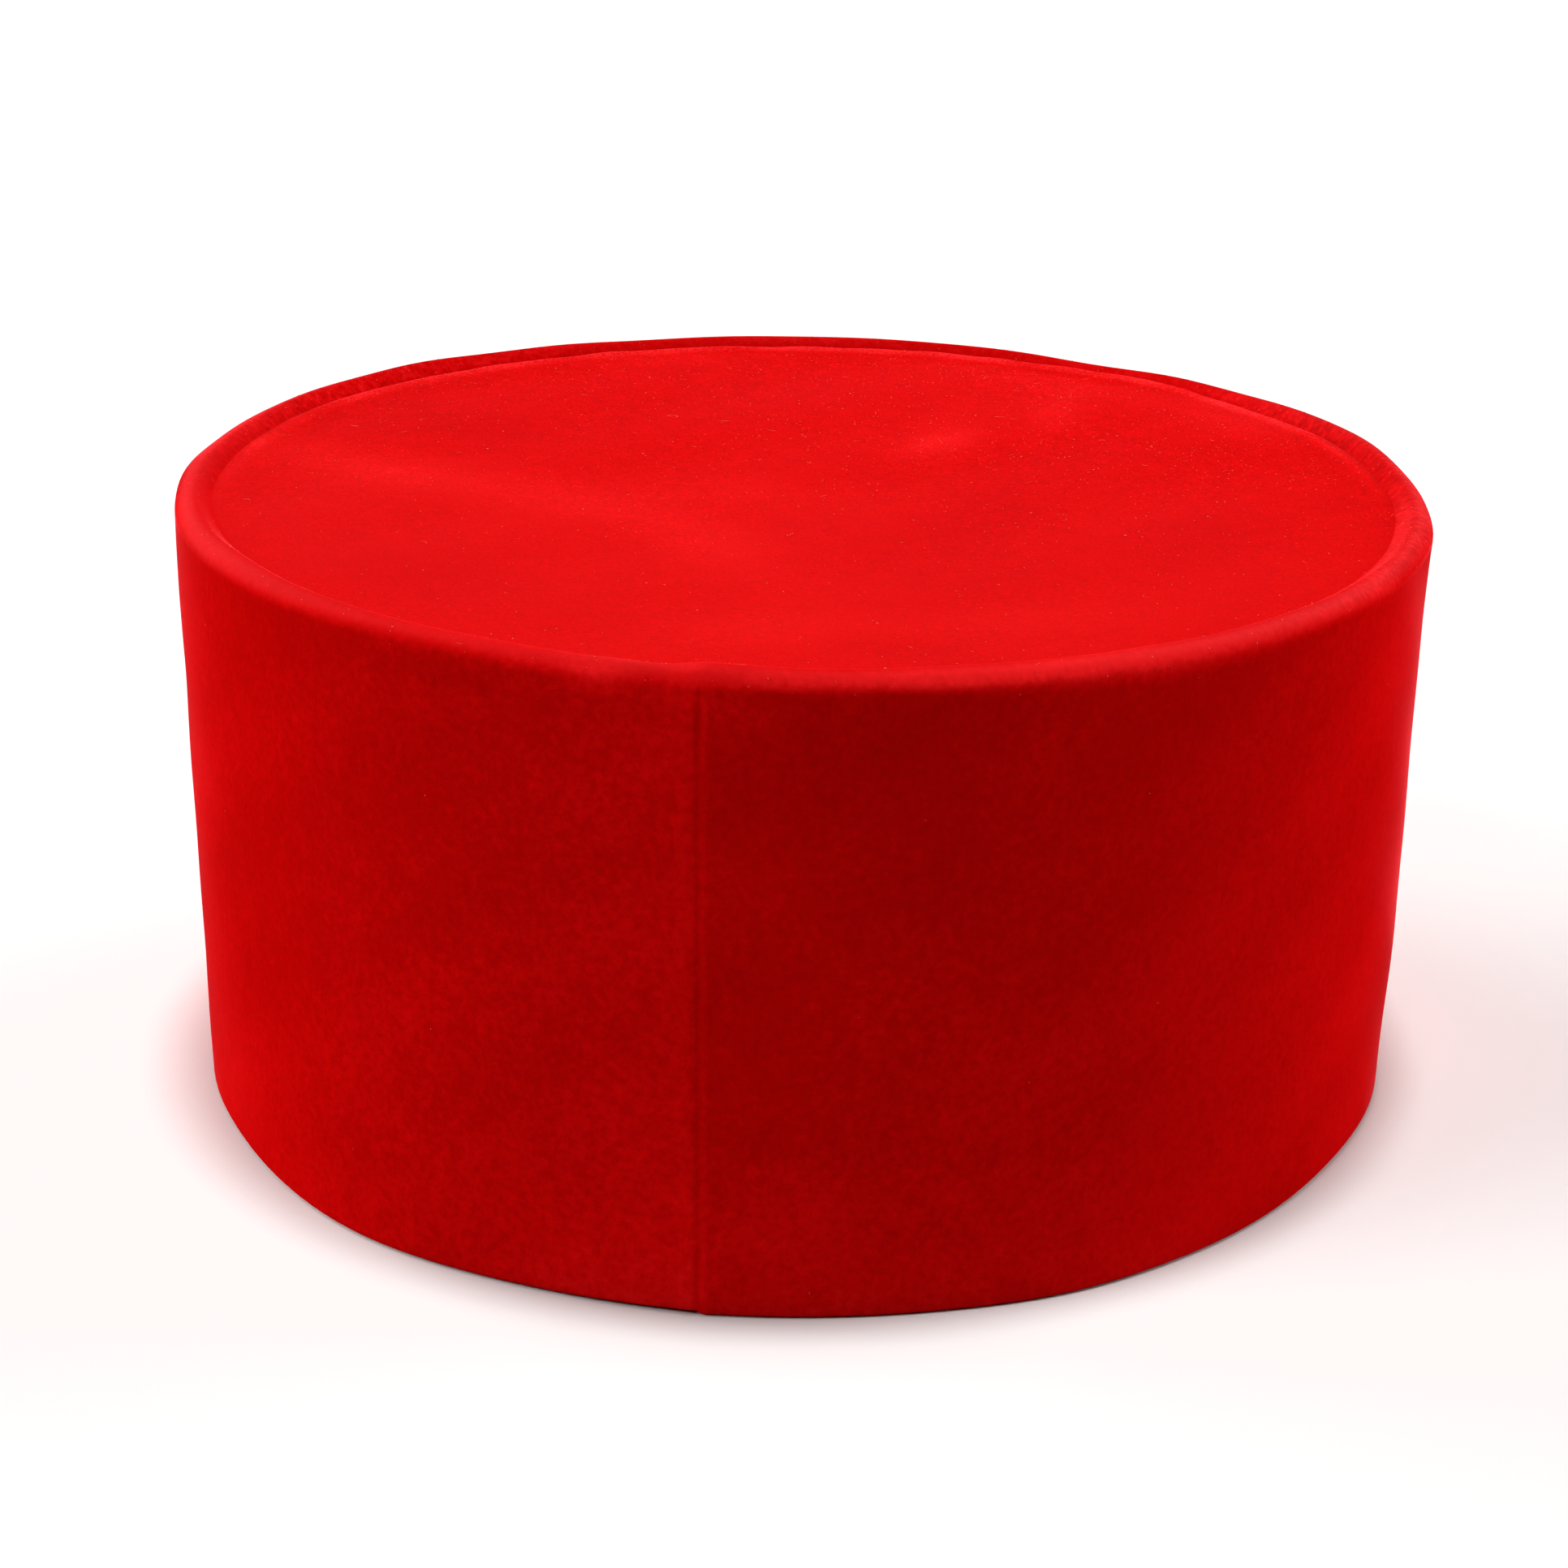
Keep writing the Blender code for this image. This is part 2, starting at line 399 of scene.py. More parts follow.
seamSet = {
    "at": 0.95 * mm,            # how far the seam stands to the right of the oval's end
    "lean": 0.25 * mm,          # and how much further at the hem
    "groove": 0.16 * mm,
    "grooveWidth": 0.42 * mm,
    "ridge": 0.10 * mm,         # the allowance folded to the right of the seam
    "ridgeAt": 0.95 * mm,
    "ridgeWidth": 0.60 * mm,
    "swell": 0.08 * mm,
    "swellAt": -1.6 * mm,
    "swellWidth": 1.1 * mm,
    "pucker": 0.06 * mm,        # the stitches pull the velvet in
    "puckerAt": -0.35 * mm,
    "puckerWidth": 0.5 * mm,
    "stitch": 1.75 * mm,        # pitch of the stitches
    "peak": 0.35 * mm,          # the stiff seam stands a little proud of the oval
    "peakReach": 7.0 * mm,
    "dent": 0.35 * mm,          # crushed rim left of the seam
    "dentAt": -4.5 * mm,
    "dentWidth": 4.0 * mm,
    "hemStep": 0.4 * mm,        # the hem ends higher on the left of the seam
    "hemStepReach": 20.0 * mm,
    "rimFade": 0.85,            # by what share the seam's relief is less over the rim
}


def arcPoints(centre, width, height, start, end, steps):
    # Points of an ellipse between two angles in degrees, without the last one
    angle = np.radians(np.linspace(start, end, steps, endpoint=False))
    return np.stack([centre[0] + width * np.cos(angle), centre[1] + height * np.sin(angle)], 1)


def linePoints(start, end, steps, power=1.0):
    # Points from one corner towards another, without the last one, the rise or drop growing with a power
    # of the way across
    share = np.linspace(0.0, 1.0, steps, endpoint=False)
    across = start[0] + (end[0] - start[0]) * share
    return np.stack([across, start[1] + (end[1] - start[1]) * share ** power], 1)


def bandSection(cap, look):
    # The section as one closed line of (out from the hem line, up): hem fold, flared wall, outer roll,
    # velvet turned in and down to the top, back to the wall, down its inner face to the turned-in hem,
    # down that and round the inner fold.
    fold = cap["hemFold"]
    crest = cap["flare"] - cap["roll"]
    rollLow = cap["height"] - cap["roll"]
    sink = cap["topFace"] - cap["bite"]
    turned = cap["rimWidth"] - cap["roll"]
    wallRows = int(round((rollLow - fold) / look["wallRow"]))
    innerTop = (cap["flare"] * sink / cap["height"] - cap["wall"], sink)
    proud = look["hemProud"]
    innerFoot = (cap["flare"] * look["hemTurn"] / cap["height"] - cap["wall"], look["hemTurn"] + proud)
    hemTop = (innerFoot[0] - proud, look["hemTurn"])
    stretches = [
        arcPoints((-fold, fold), fold, fold, -90.0, 0.0, look["foldRows"]),
        linePoints((0.0, fold), (cap["flare"], rollLow), wallRows),
        arcPoints((crest, rollLow), cap["roll"], cap["roll"], 0.0, 90.0, look["rollRows"]),
        linePoints((crest, cap["height"]), (crest - turned, sink), look["turnedRows"], look["turnedPower"]),
        linePoints((crest - turned, sink), innerTop, 2),
        linePoints(innerTop, innerFoot, look["innerRows"]),
        linePoints(innerFoot, hemTop, 1),
        linePoints(hemTop, (-cap["wall"] - proud, fold), look["hemRows"]),
        arcPoints((fold - cap["wall"], fold), fold + proud, fold, 180.0, 270.0, look["foldRows"]),
        np.array([[fold - cap["wall"], 0.0]]),
    ]
    return np.concatenate(stretches)


def ovalLine(cap, count):
    # The hem's ellipse from the seam at -Y round by +X: the points (a sin t, -b cos t), the outward
    # unit normals along (b sin t, -a cos t), and the arc length from the seam.
    t = np.linspace(-math.pi, math.pi, count)
    a, b = cap["hemHalfWidth"], cap["hemHalfLength"]
    points = np.stack([a * np.sin(t), -b * np.cos(t)], 1)
    normals = np.stack([b * np.sin(t), -a * np.cos(t)], 1)
    normals /= np.linalg.norm(normals, axis=1)[:, None]
    steps = np.linalg.norm(np.diff(points, axis=0), axis=1)
    arc = np.concatenate([[0.0], np.cumsum(steps)])
    return points, normals, arc - arc[-1] / 2.0


def seamColumns(arc, look, seamAt):
    # Distances round the hem whose spacing grows in a straight line with the distance from the seam, up
    # to a limit: the running count is the sum of one over the spacing.
    away = np.maximum(np.abs(arc - seamAt) - look["fineReach"], 0.0)
    spacing = np.minimum(look["fineColumn"] + look["columnGrowth"] * away, look["coarseColumn"])
    middle = 0.5 * (1.0 / spacing[1:] + 1.0 / spacing[:-1])
    count = np.concatenate([[0.0], np.cumsum(middle * np.diff(arc))])
    columns = int(round(count[-1]))
    return np.interp(np.arange(columns) * count[-1] / columns, count, arc)


# Where the cap is out of its plain oval: facing, the share of the height, half lengths of both, and by
# how much it is pushed out and raised, in millimetres
swellColumns = ("facing", "level", "wide", "tall", "push", "raise")
bandSwells = (
    (-37, 0.00, 13, 0.22, 1.35, 0.0),
    (-62, 0.10, 8, 0.15, -0.35, 0.0),
    (38, 0.00, 9, 0.15, 0.75, 0.0),
    (72, 0.02, 9, 0.13, -0.75, 0.0),
    (90, 0.33, 14, 0.22, 0.55, 0.0),
    (116, 1.00, 12, 0.25, 0.50, 0.50),
    (152, 1.00, 13, 0.25, 0.00, -0.38),
    (-117, 1.00, 11, 0.25, 0.50, 0.36),
    (-153, 1.00, 15, 0.25, 0.00, -0.25),
)


def bandSwell(facing, level):
    # How far each point is pushed out and raised: a sum of soft bumps round the cap and up the wall
    push = np.zeros(np.broadcast_shapes(facing.shape, level.shape))
    lift = np.zeros_like(push)
    for swell in named(swellColumns, bandSwells):
        share = bellRound(facing, swell["facing"], swell["wide"])
        share = share * bell(level - swell["level"], swell["tall"])
        push += swell["push"] * mm * share
        lift += swell["raise"] * mm * share
    return push, lift


# Where the velvet turned in to the top is narrower, in millimetres
rimNarrows = (
    (-108, 14, 0.8),
    (117, 8, 0.7),
    (132, 34, 0.6),
    (144, 9, 0.5),
    (157, 15, 0.4),
    (180, 32, 0.3),
)


def bandRelief(side, rise, onOuter, onRoll, phase, height, rng, look, seam):
    # How far the velvet stands out from the plain section: the seam's groove, its ridge and swell, a
    # pucker at each stitch, a peak that fades from the seam, the crushed rim and slow waves.
    wallShare = onOuter * (1.0 - seam["rimFade"] * onRoll)
    groove = -seam["groove"] * bell(side, seam["grooveWidth"])
    ridge = seam["ridge"] * bell(side - seam["ridgeAt"], seam["ridgeWidth"])
    swell = seam["swell"] * bell(side - seam["swellAt"], seam["swellWidth"])
    stitch = (0.5 - 0.5 * np.cos(2.0 * math.pi * rise / seam["stitch"])) ** 2
    pucker = -seam["pucker"] * stitch * bell(side - seam["puckerAt"], seam["puckerWidth"])
    peak = seam["peak"] * np.exp(-np.abs(side) / seam["peakReach"])
    dent = -seam["dent"] * bell(side - seam["dentAt"], seam["dentWidth"]) * onRoll
    level = rise / height
    slow = waves(rng, phase, look["wallWaves"], look["wallWave"]) * np.sin(math.pi * level)
    slow = slow + waves(rng, phase + 1.5 * level, look["wallRipples"], 0.5 * look["wallWave"])
    rim = waves(rng, phase, look["rollWaves"], look["rollWave"]) * onRoll
    return wallShare * (groove + ridge + swell + pucker) + onOuter * (peak + slow) + dent + rim


# The band's tone: the lie of its pile, and in places painted light and painted shade. Tones run from -1,
# dark, to 1, pale. Slant is how steep the surface is: 0 degrees on the rim's highest line, 90 on the wall,
# and below 0 where it slopes in to the top.
# A pair is where something begins and where it is full.
pileAndPaintedLightSet = {
    # pale along the crest: pile opened over the roll, and a painted highlight
    "crest": {"even": 0.52, "bumps": ((24, 14, 0.36), (52, 12, 0.16)), "ramps": (("both", 58, 80, -0.12),)},
    "crestInner": 0.48,            # where the rim begins to tip in to the top
    "crestSlant": (-5.0, 35.0),
    "crestDrop": {"even": 2.2 * mm, "bumps": ((-28, 14, -0.95 * mm),)},  # how far down the crest the pale pile and painted highlight reach
    "crestFade": 1.1 * mm,
    "paintedFarShade": 0.55,               # painted shade along the crest at the far side, where the side lamps fall
    "paintedFarShadeFacing": (92.0, 128.0),
    "paintedFarShadeSlant": (-8.0, 16.0),
    "paintedFarShadeEnd": (24.0, 46.0),
    # the slope turned in to the top, darker at the two sides as painted shade
    "turned": {"even": 0.46, "bumps": ((-86, 12, -0.34), (106, 10, -0.30)),
               "ramps": (("both", 92, 128, -0.08),)},
    "turnedSlant": (0.0, 30.0),
    "flatShare": (0.65, 1.0),      # even towards the end of the turned velvet, but for the far side
    "flatFacing": (98.0, 120.0),
    # paler round the two sides: painted light where the side lamps fall
    "paintedSideLight": {"ramps": (("right", 32, 85, 0.26), ("left", 50, 80, 0.24))},
    "paintedSideLightEnd": (95.0, 150.0),
    "paintedSideLightSlant": (-10.0, 20.0),
    "uneven": 0.06,                # handling all round the cap, in waves
    "unevenFine": 0.05,
    # paler towards the hem: painted light from the floor
    "hem": {"even": 0.24, "bumps": ((14, 20, 0.36),), "ramps": (("right", 40, 62, -0.20),)},
    "hemReach": 11.0 * mm,
    "step": 0.12,                  # paler left of the seam and darker right of it
    "stepWidth": 1.0 * mm,
    "stepReach": 30.0 * mm,
    "groove": 0.12,                # dark in the seam's groove, pale on its ridge
    "ridge": 0.08,
    "tight": 0.24,                 # darker where the seam is pulled tight just below the rim
    "tightDrop": 6.0 * mm,
    "tightTall": 3.0 * mm,
    "paintedRimShade": 0.14,                 # painted shade below the rim to the right of the seam
    "paintedRimShadeAt": 34.0 * mm,
    "paintedRimShadeWide": 35.0 * mm,
    "paintedRimShadeLevel": 0.9,
    "paintedRimShadeTall": 0.12,
    "wallSlant": (70.0, 88.0),
    # how much less the tone is where the stitching evens the end of the turned velvet
    "tucked": {"ramps": (("right", 92, 112, 0.5), ("left", 72, 92, 0.5))},
    "tuckedShare": (0.5, 1.0),
    # how far single tufts show, on the wall and over the rim
    "grainWall": {"even": 0.74, "ramps": (("both", 25, 55, -0.26),)},
    "grainRim": {"even": 0.3,
                 "ramps": (("right", 50, 90, 1.2), ("left", 70, 110, 1.2), ("both", 118, 145, -0.8))},
    "grainSlant": (40.0, 85.0),
    # painted sheen over the outside of the rim
    "paintedSheen": {"even": 0.010, "ramps": (("both", 15, 75, 0.052), ("both", 96, 130, -0.040))},
    "paintedSheenSlant": 28.0,
    "paintedSheenWide": 27.0,
}
# Patches of the wall's pile, across being the share of the height
# Two of them are painted shade below the rim: the thin dark strip at -23 and the darker place at 12.
wallPatches = (
    (-68, 0.75, 9, 0.28, 0.20),
    (-70, 0.25, 9, 0.14, 0.10),
    (-23, 0.945, 9, 0.025, -0.22),
    (-12, 0.90, 6, 0.08, -0.05),
    (-35, 0.22, 8, 0.06, 0.08),
    (-9, 0.31, 4, 0.10, -0.06),
    (-3, 0.68, 3, 0.10, -0.08),
    (-3, 0.09, 3, 0.08, -0.08),
    (3, 0.27, 3, 0.10, 0.11),
    (11, 0.30, 5, 0.08, 0.07),
    (-7, 0.32, 6, 0.16, 0.12),
    (4, 0.935, 5, 0.03, 0.14),
    (12, 0.76, 11, 0.13, -0.16),
    (17, 0.28, 9, 0.07, -0.10),
    (27, 0.20, 6, 0.06, 0.08),
    (55, 0.18, 6, 0.08, 0.10),
    (10, 0.14, 9, 0.10, 0.12),
    (33, 0.80, 6, 0.14, 0.12),
    (48, 0.40, 6, 0.10, 0.12),
    (62, 0.13, 12, 0.13, -0.14),
    (57, 0.62, 6, 0.12, -0.08),
)


# Patches of the rim's pile, across being millimetres over the rim from its highest line outwards
# The four at the far side, from facing 114 round to -130, are painted shade where the side lamps fall on the
# rim.
rimPatches = (
    (-93, -0.4, 9, 2.4, 0.26),
    (-82, 3.2, 9, 2.2, -0.45),
    (-76, 1.8, 7, 1.6, -0.10),
    (-64, 1.5, 7, 1.6, -0.12),
    (-80, -1.0, 8, 1.2, 0.10),
    (-60, 3.2, 9, 1.0, -0.18),
    (-48, 1.9, 6, 1.0, -0.13),
    (-32, -1.0, 6, 1.5, 0.08),
    (-22, 2.6, 7, 1.6, -0.09),
    (-16, 6.0, 5, 1.6, 0.12),
    (-9, 3.2, 2.6, 1.8, 0.26),
    (-4, 3.2, 1.8, 1.2, -0.10),
    (-8, 4.6, 3, 1.0, 0.16),
    (0, 1.2, 2.0, 0.9, 0.14),
    (0, 2.5, 3, 0.7, -0.10),
    (1, 5.2, 4, 1.0, 0.16),
    (4, -1.5, 8, 1.2, 0.16),
    (8, 1.5, 4, 1.4, 0.14),
    (11, 0.0, 6, 1.0, -0.10),
    (16, 3.5, 4, 0.8, -0.10),
    (34, 1.0, 4, 0.8, 0.12),
    (40, 4.2, 11, 0.9, 0.26),
    (48, -0.8, 4, 1.2, -0.16),
    (48, 4.4, 8, 0.9, 0.12),
    (64, -2.6, 5, 1.6, -0.22),
    (64, 0.8, 4, 0.8, -0.14),
    (80, 1.8, 8, 1.2, -0.10),
    (80, -1.0, 6, 1.0, -0.14),
    (64, 3.4, 5, 1.4, -0.18),
    (78, 2.3, 6, 1.4, -0.22),
    (114, 0.0, 10, 3.0, -0.03),
    (139, -0.5, 8, 2.0, -0.16),
    (136, 2.0, 12, 2.0, -0.22),
    (-130, 1.5, 9, 2.5, -0.18),
)


def rimNapAndPaintedLight(at, look):
    # Over the rim the tone is pale along the crest and a little way down outside it, partly pile opened over
    # the roll and partly a painted highlight, darker along the crest at the far side as painted shade, and
    # even on the slope turned in to the top.
    facing, slant = at["facing"], at["slant"]
    aside = np.abs(facing)
    # pale crest: partly pile opened over the roll, partly a painted highlight
    laid = roundCap(facing, **look["crest"])
    laid = look["crestInner"] + (laid - look["crestInner"]) * ease(slant, *look["crestSlant"])
    # painted shade along the far crest
    paintedFarShade = ease(aside, *look["paintedFarShadeFacing"]) * ease(slant, *look["paintedFarShadeSlant"])
    laid = laid - (laid + look["paintedFarShade"]) * paintedFarShade * (1.0 - ease(slant, *look["paintedFarShadeEnd"]))
    end = roundCap(facing, **look["crestDrop"])
    crest = laid * (1.0 - ease(at["drop"], end - look["crestFade"], end + look["crestFade"]))
    # the turned slope, with painted shade at the two sides
    inner = laid + (roundCap(facing, **look["turned"]) - laid) * ease(-slant, *look["turnedSlant"])
    flat = ease(at["turnShare"], *look["flatShare"]) * (1.0 - ease(aside, *look["flatFacing"]))
    inner = inner + (look["turned"]["even"] - inner) * flat
    return np.where(slant < 0.0, inner, crest) + patched(rimPatches, facing, at["over"] / mm)


def wallNapAndPaintedLight(at, look, seam):
    # On the wall the pile is dark in the seam's groove, darker right of the seam than left of it, and brushed
    # in patches; it is paler towards the hem as painted light from the floor, and darker below the rim as
    # painted shade.
    facing, fromSeam = at["facing"], at["fromSeam"]
    # painted light from the floor, paler towards the hem
    hem = roundCap(facing, **look["hem"]) * np.exp(-at["rise"] / look["hemReach"])
    step = -look["step"] * np.tanh(fromSeam / look["stepWidth"])
    step = step * np.exp(-np.abs(fromSeam) / look["stepReach"])
    tight = look["tight"] * bell(at["drop"] - look["tightDrop"], look["tightTall"])
    groove = -(look["groove"] + tight) * bell(fromSeam, seam["grooveWidth"])
    ridge = look["ridge"] * bell(fromSeam - seam["ridgeAt"], seam["ridgeWidth"])
    # painted shade below the rim
    paintedRimShade = -look["paintedRimShade"] * bell(fromSeam - look["paintedRimShadeAt"], look["paintedRimShadeWide"])
    paintedRimShade = paintedRimShade * bell(at["level"] - look["paintedRimShadeLevel"], look["paintedRimShadeTall"])
    wall = step + groove + ridge + paintedRimShade + hem + patched(wallPatches, facing, at["level"])
    return wall * ease(at["slant"], *look["wallSlant"])


def bandNapAndPaintedLight(at, look, seam, rng):
    # The tone of the pile on the whole band: that of the rim and of the wall, paler round the two sides as
    # painted light from the side lamps, and uneven in slow waves.
    facing, phase, level = at["facing"], at["phase"], at["level"]
    # painted light round the two sides
    paintedSideLight = roundCap(facing, **look["paintedSideLight"]) * (1.0 - ease(np.abs(facing), *look["paintedSideLightEnd"]))
    paintedSideLight = paintedSideLight * ease(at["slant"], *look["paintedSideLightSlant"])
    uneven = waves(rng, phase + 0.8 * level, (2, 5, 9), look["uneven"])
    uneven = uneven + waves(rng, phase - 1.7 * level, (7, 14), look["unevenFine"])
    tucked = roundCap(facing, **look["tucked"]) * ease(at["turnShare"], *look["tuckedShare"])
    return (rimNapAndPaintedLight(at, look) + wallNapAndPaintedLight(at, look, seam) + paintedSideLight + uneven) * at["onPile"] * (1.0 - tucked)


def bandGrain(at, look):
    # How far single tufts show: as on the wall where the surface is steep, and else as over the rim
    wall = roundCap(at["facing"], **look["grainWall"])
    rim = roundCap(at["facing"], **look["grainRim"])
    return wall + (rim - wall) * (1.0 - ease(at["slant"], *look["grainSlant"]))


# Patches of more or less painted sheen, across being the slant
paintedSheenPatches = (
    (-80, -10, 8, 25, 0.030),
    (-80, 60, 8, 20, -0.045),
    (-70, 50, 7, 20, 0.006),
    (-82, 90, 9, 12, 0.010),
    (-62, 62, 8, 18, 0.034),
    (-48, 55, 8, 15, 0.012),
    (-6, 0, 6, 24, 0.030),
    (118, -10, 16, 38, 0.022),
    (-94, -10, 10, 38, 0.014),
    (83, -30, 13, 24, 0.045),
    (82, 35, 8, 12, -0.020),
)


def bandPaintedSheen(at, look):
    # Painted sheen: a bell over the outside of the rim, plus the patches
    rim = roundCap(at["facing"], **look["paintedSheen"]) * bell(at["slant"] - look["paintedSheenSlant"], look["paintedSheenWide"])
    return np.maximum(rim + patched(paintedSheenPatches, at["facing"], at["slant"]), 0.0)


def buildBand(cap, look, seam, pile, material, backing):
    # Each section point goes out along the oval's normal and up, then the whole level slides sideways in
    # proportion to how far it is below the rim, and the relief moves it along the section's own normal.
    rng = np.random.default_rng(look["seed"])
    section = bandSection(cap, look)
    ahead = np.roll(section, -1, axis=0) - np.roll(section, 1, axis=0)
    ahead /= np.linalg.norm(ahead, axis=1)[:, None]
    sectionOut, sectionUp = ahead[:, 1:2], -ahead[:, 0:1]
    out, up = section[:, 0:1], section[:, 1:2]
    foldEnd = look["foldRows"]
    rollStart = int(np.argmax(up[:, 0] >= cap["height"] - cap["roll"] - 1e-9))
    turnStart = rollStart + look["rollRows"]
    turnEnd = turnStart + look["turnedRows"]
    row = np.arange(len(section))[:, None]
    onOuter = ease(row, 0, foldEnd) * (1.0 - ease(row, turnEnd - 8, turnEnd))
    onRoll = ease(row, rollStart - 14, rollStart + 8) * (1.0 - ease(row, turnStart + 2, turnEnd - 3))
    slant = np.degrees(np.arctan2(sectionOut, sectionUp))
    points, normals, arc = ovalLine(cap, look["hemPoints"])
    side = seamColumns(arc, look, seam["at"])[None, :]
    fromSeam = side - seam["at"] - seam["lean"] * (1.0 - up / cap["height"])
    phase = 2.0 * math.pi * side / (arc[-1] - arc[0])
    px, py, nx, ny = [np.interp(side[0], arc, line)[None, :] for line in (*points.T, *normals.T)]
    relief = bandRelief(fromSeam, up, onOuter, onRoll, phase, cap["height"], rng, look, seam)
    facing = np.degrees(np.arctan2(nx, -ny))
    push, swellUp = bandSwell(facing, up / cap["height"])
    turnShare = np.clip((row - turnStart) / look["turnedRows"], 0.0, 1.0)
    reach = out + relief * sectionOut + push
    # where the rim is raised or sunk, the end of its turned velvet still lies on the top
    level = up + relief * sectionUp + swellUp * (1.0 - turnShare)
    onLeft = 1.0 - ease(fromSeam, -0.5 * mm, 0.2 * mm)
    lift = seam["hemStep"] * onLeft * np.exp(np.minimum(fromSeam, 0.0) / seam["hemStepReach"])
    level = level + lift * (1.0 - ease(up, 0.0, look["stepTall"]))
    # the turned velvet ends steep at the far side, and lies down softly on the top everywhere else
    softly = roundCap(facing, **look["soft"])
    steep = (cap["height"] - cap["topFace"] + cap["bite"]) * turnShare ** look["turnedPower"]
    soft = (cap["height"] - cap["topFace"] + cap["softBite"]) * ease(turnShare, 0.0, 1.0)
    level = level + (steep - soft) * softly
    reach = reach + roundCap(facing, bumps=rimNarrows) * mm * turnShare
    lean = cap["sideLean"] * (1.0 - level / cap["height"])
    x = px + nx * reach + lean
    y = py + ny * reach
    z = np.broadcast_to(np.maximum(level, 0.0), x.shape)
    grid = np.stack([x, y, z], -1)
    rows, columns = x.shape
    r, c = np.arange(rows)[:, None] * columns, np.arange(columns)
    rNext, cNext = (r + columns) % (rows * columns), (c + 1) % columns
    faces = np.stack([r + c, r + cNext, rNext + cNext, rNext + c], -1)
    band = newPiece("velvet_band", grid.reshape(-1, 3), faces.reshape(-1, 4).tolist(), material)
    lengths = np.linalg.norm(np.roll(section, -1, axis=0) - section, axis=1)
    run = np.concatenate([[0.0], np.cumsum(lengths[:-1])])[:, None]
    inside = np.broadcast_to((row >= turnEnd + 2) & (row < turnEnd + 2 + look["innerRows"]), x.shape)
    left, right = side, np.append(side[:, 1:], side[:, :1] + arc[-1] - arc[0], axis=1)
    corners = np.ones((rows, columns, 4))
    across = np.stack([left, right, right, left], -1) * corners
    along = np.stack([run, run, run + lengths[:, None], run + lengths[:, None]], -1) * corners
    addBacking(band, backing, inside.ravel(), across, along)
    # where each point is on the cap, for the lie of its pile; turnShare runs from 0 at the crest to 1 where
    # the turned velvet ends on the top
    at = dict(fromSeam=fromSeam, facing=facing, phase=phase, rise=up, drop=cap["height"] - up,
              level=up / cap["height"], over=run[turnStart] - run, slant=slant, turnShare=turnShare,
              onPile=ease(row, 0, foldEnd) * (row <= turnEnd))
    addValues(band, "napAndPaintedLight", np.clip(bandNapAndPaintedLight(at, pile, seam, rng), -1.0, 1.0))
    addValues(band, "grain", np.broadcast_to(bandGrain(at, pile), x.shape))
    addValues(band, "paintedSheen", bandPaintedSheen(at, pile) * np.ones_like(x))
    return band, grid[foldEnd:turnEnd - 2]


# The velvet top: a flat oval, tucked under the turned velvet of the rim

topSet = {
    "columns": 300,
    "middleRows": 44,
    "edgeRows": 26,           # close rings where the top meets the rim
    "edgeReach": 6.0 * mm,
    "gap": 0.3 * mm,          # clear of the wall's inner face
    "edgeRound": 0.4 * mm,
    "roundRows": 4,
    "underRings": (0.6, 0.25),  # rings of the underside, as shares of its width
    "wave": 0.12 * mm,
    "waveLengths": (80.0 * mm, 55.0 * mm, 42.0 * mm, 30.0 * mm),
    "waveFade": 6.0 * mm,     # the waves fade over this width beside the rim's velvet
    "weltHeight": 0.35 * mm,  # the velvet rises where the turned rim presses on it
    "weltIn": 0.6 * mm,
    "weltWidth": 0.8 * mm,
    "puffWidth": 2.5 * mm,    # how far in from the rim the places reach that stand higher
    "edgeHighlightFar": 0.75,          # painted highlight along the rim's velvet, at the far side and the two sides
    "edgeHighlightRight": 0.35,
    "edgeHighlightLeft": 0.50,
    "edgeHighlightIn": 0.7 * mm,
    "edgeHighlightWidth": 1.7 * mm,
    "grain": 1.3,
    "grainNearLess": 0.6,     # smoother towards the seam, and a little painted sheen there
    "paintedSheenNear": 0.010,
    "paintedSheenLeft": 0.004,
    "paintedSheenPale": 0.030,       # and painted sheen where the pile is brushed pale
    "middleDepth": 60.0 * mm,  # how far in the middle counts as, well past the rim's velvet
    "seed": 5,
}
# Patches of the top's pile, in millimetres from the middle: place, half lengths, turn in degrees, tone
brushColumns = ("x", "y", "long", "wide", "turn", "tone")
topPatches = (
    (16, 34, 11, 5, 72, 0.45),
    (-64, -8, 20, 8, -35, 0.30),
    (-36, -17, 24, 9, -32, 0.22),
    (-8, -40, 26, 8, -62, 0.20),
    (-8, -8, 12, 9, 0, 0.15),
    (8, -82, 14, 9, 10, 0.18),
    (36, -68, 16, 7, 30, 0.15),
    (34, 84, 34, 8, -28, 0.20),
    (62, 60, 16, 8, -55, 0.25),
    (32, 62, 16, 4, 88, 0.22),
    (-38, 86, 18, 6, 30, 0.18),
    (-25, 55, 26, 20, 40, -0.12),
    (-60, 24, 22, 14, -20, -0.15),
    (27, -20, 30, 9, 90, -0.15),
    (40, 28, 18, 12, 60, -0.10),
    (58, -18, 18, 10, 80, -0.12),
    (-45, -66, 16, 9, -30, -0.12),
    (24, -88, 12, 5, -20, -0.15),
)


def topNap(x, y):
    # Each patch is a soft ellipse: its tone times e to the minus squared distance in its own axes
    total = np.zeros_like(x)
    for patch in named(brushColumns, topPatches):
        turn = math.radians(patch["turn"])
        dx, dy = x / mm - patch["x"], y / mm - patch["y"]
        along = (dx * math.cos(turn) + dy * math.sin(turn)) / patch["long"]
        across = (dy * math.cos(turn) - dx * math.sin(turn)) / patch["wide"]
        total += patch["tone"] * np.exp(-along ** 2 - across ** 2)
    return total


# Where the top's velvet stands higher by the rim, in millimetres
topPuffs = (
    (144, 6, 0.50),
    (155, 5, 0.20),
    (172, 5, 0.25),
    (-158, 5, 0.25),
)


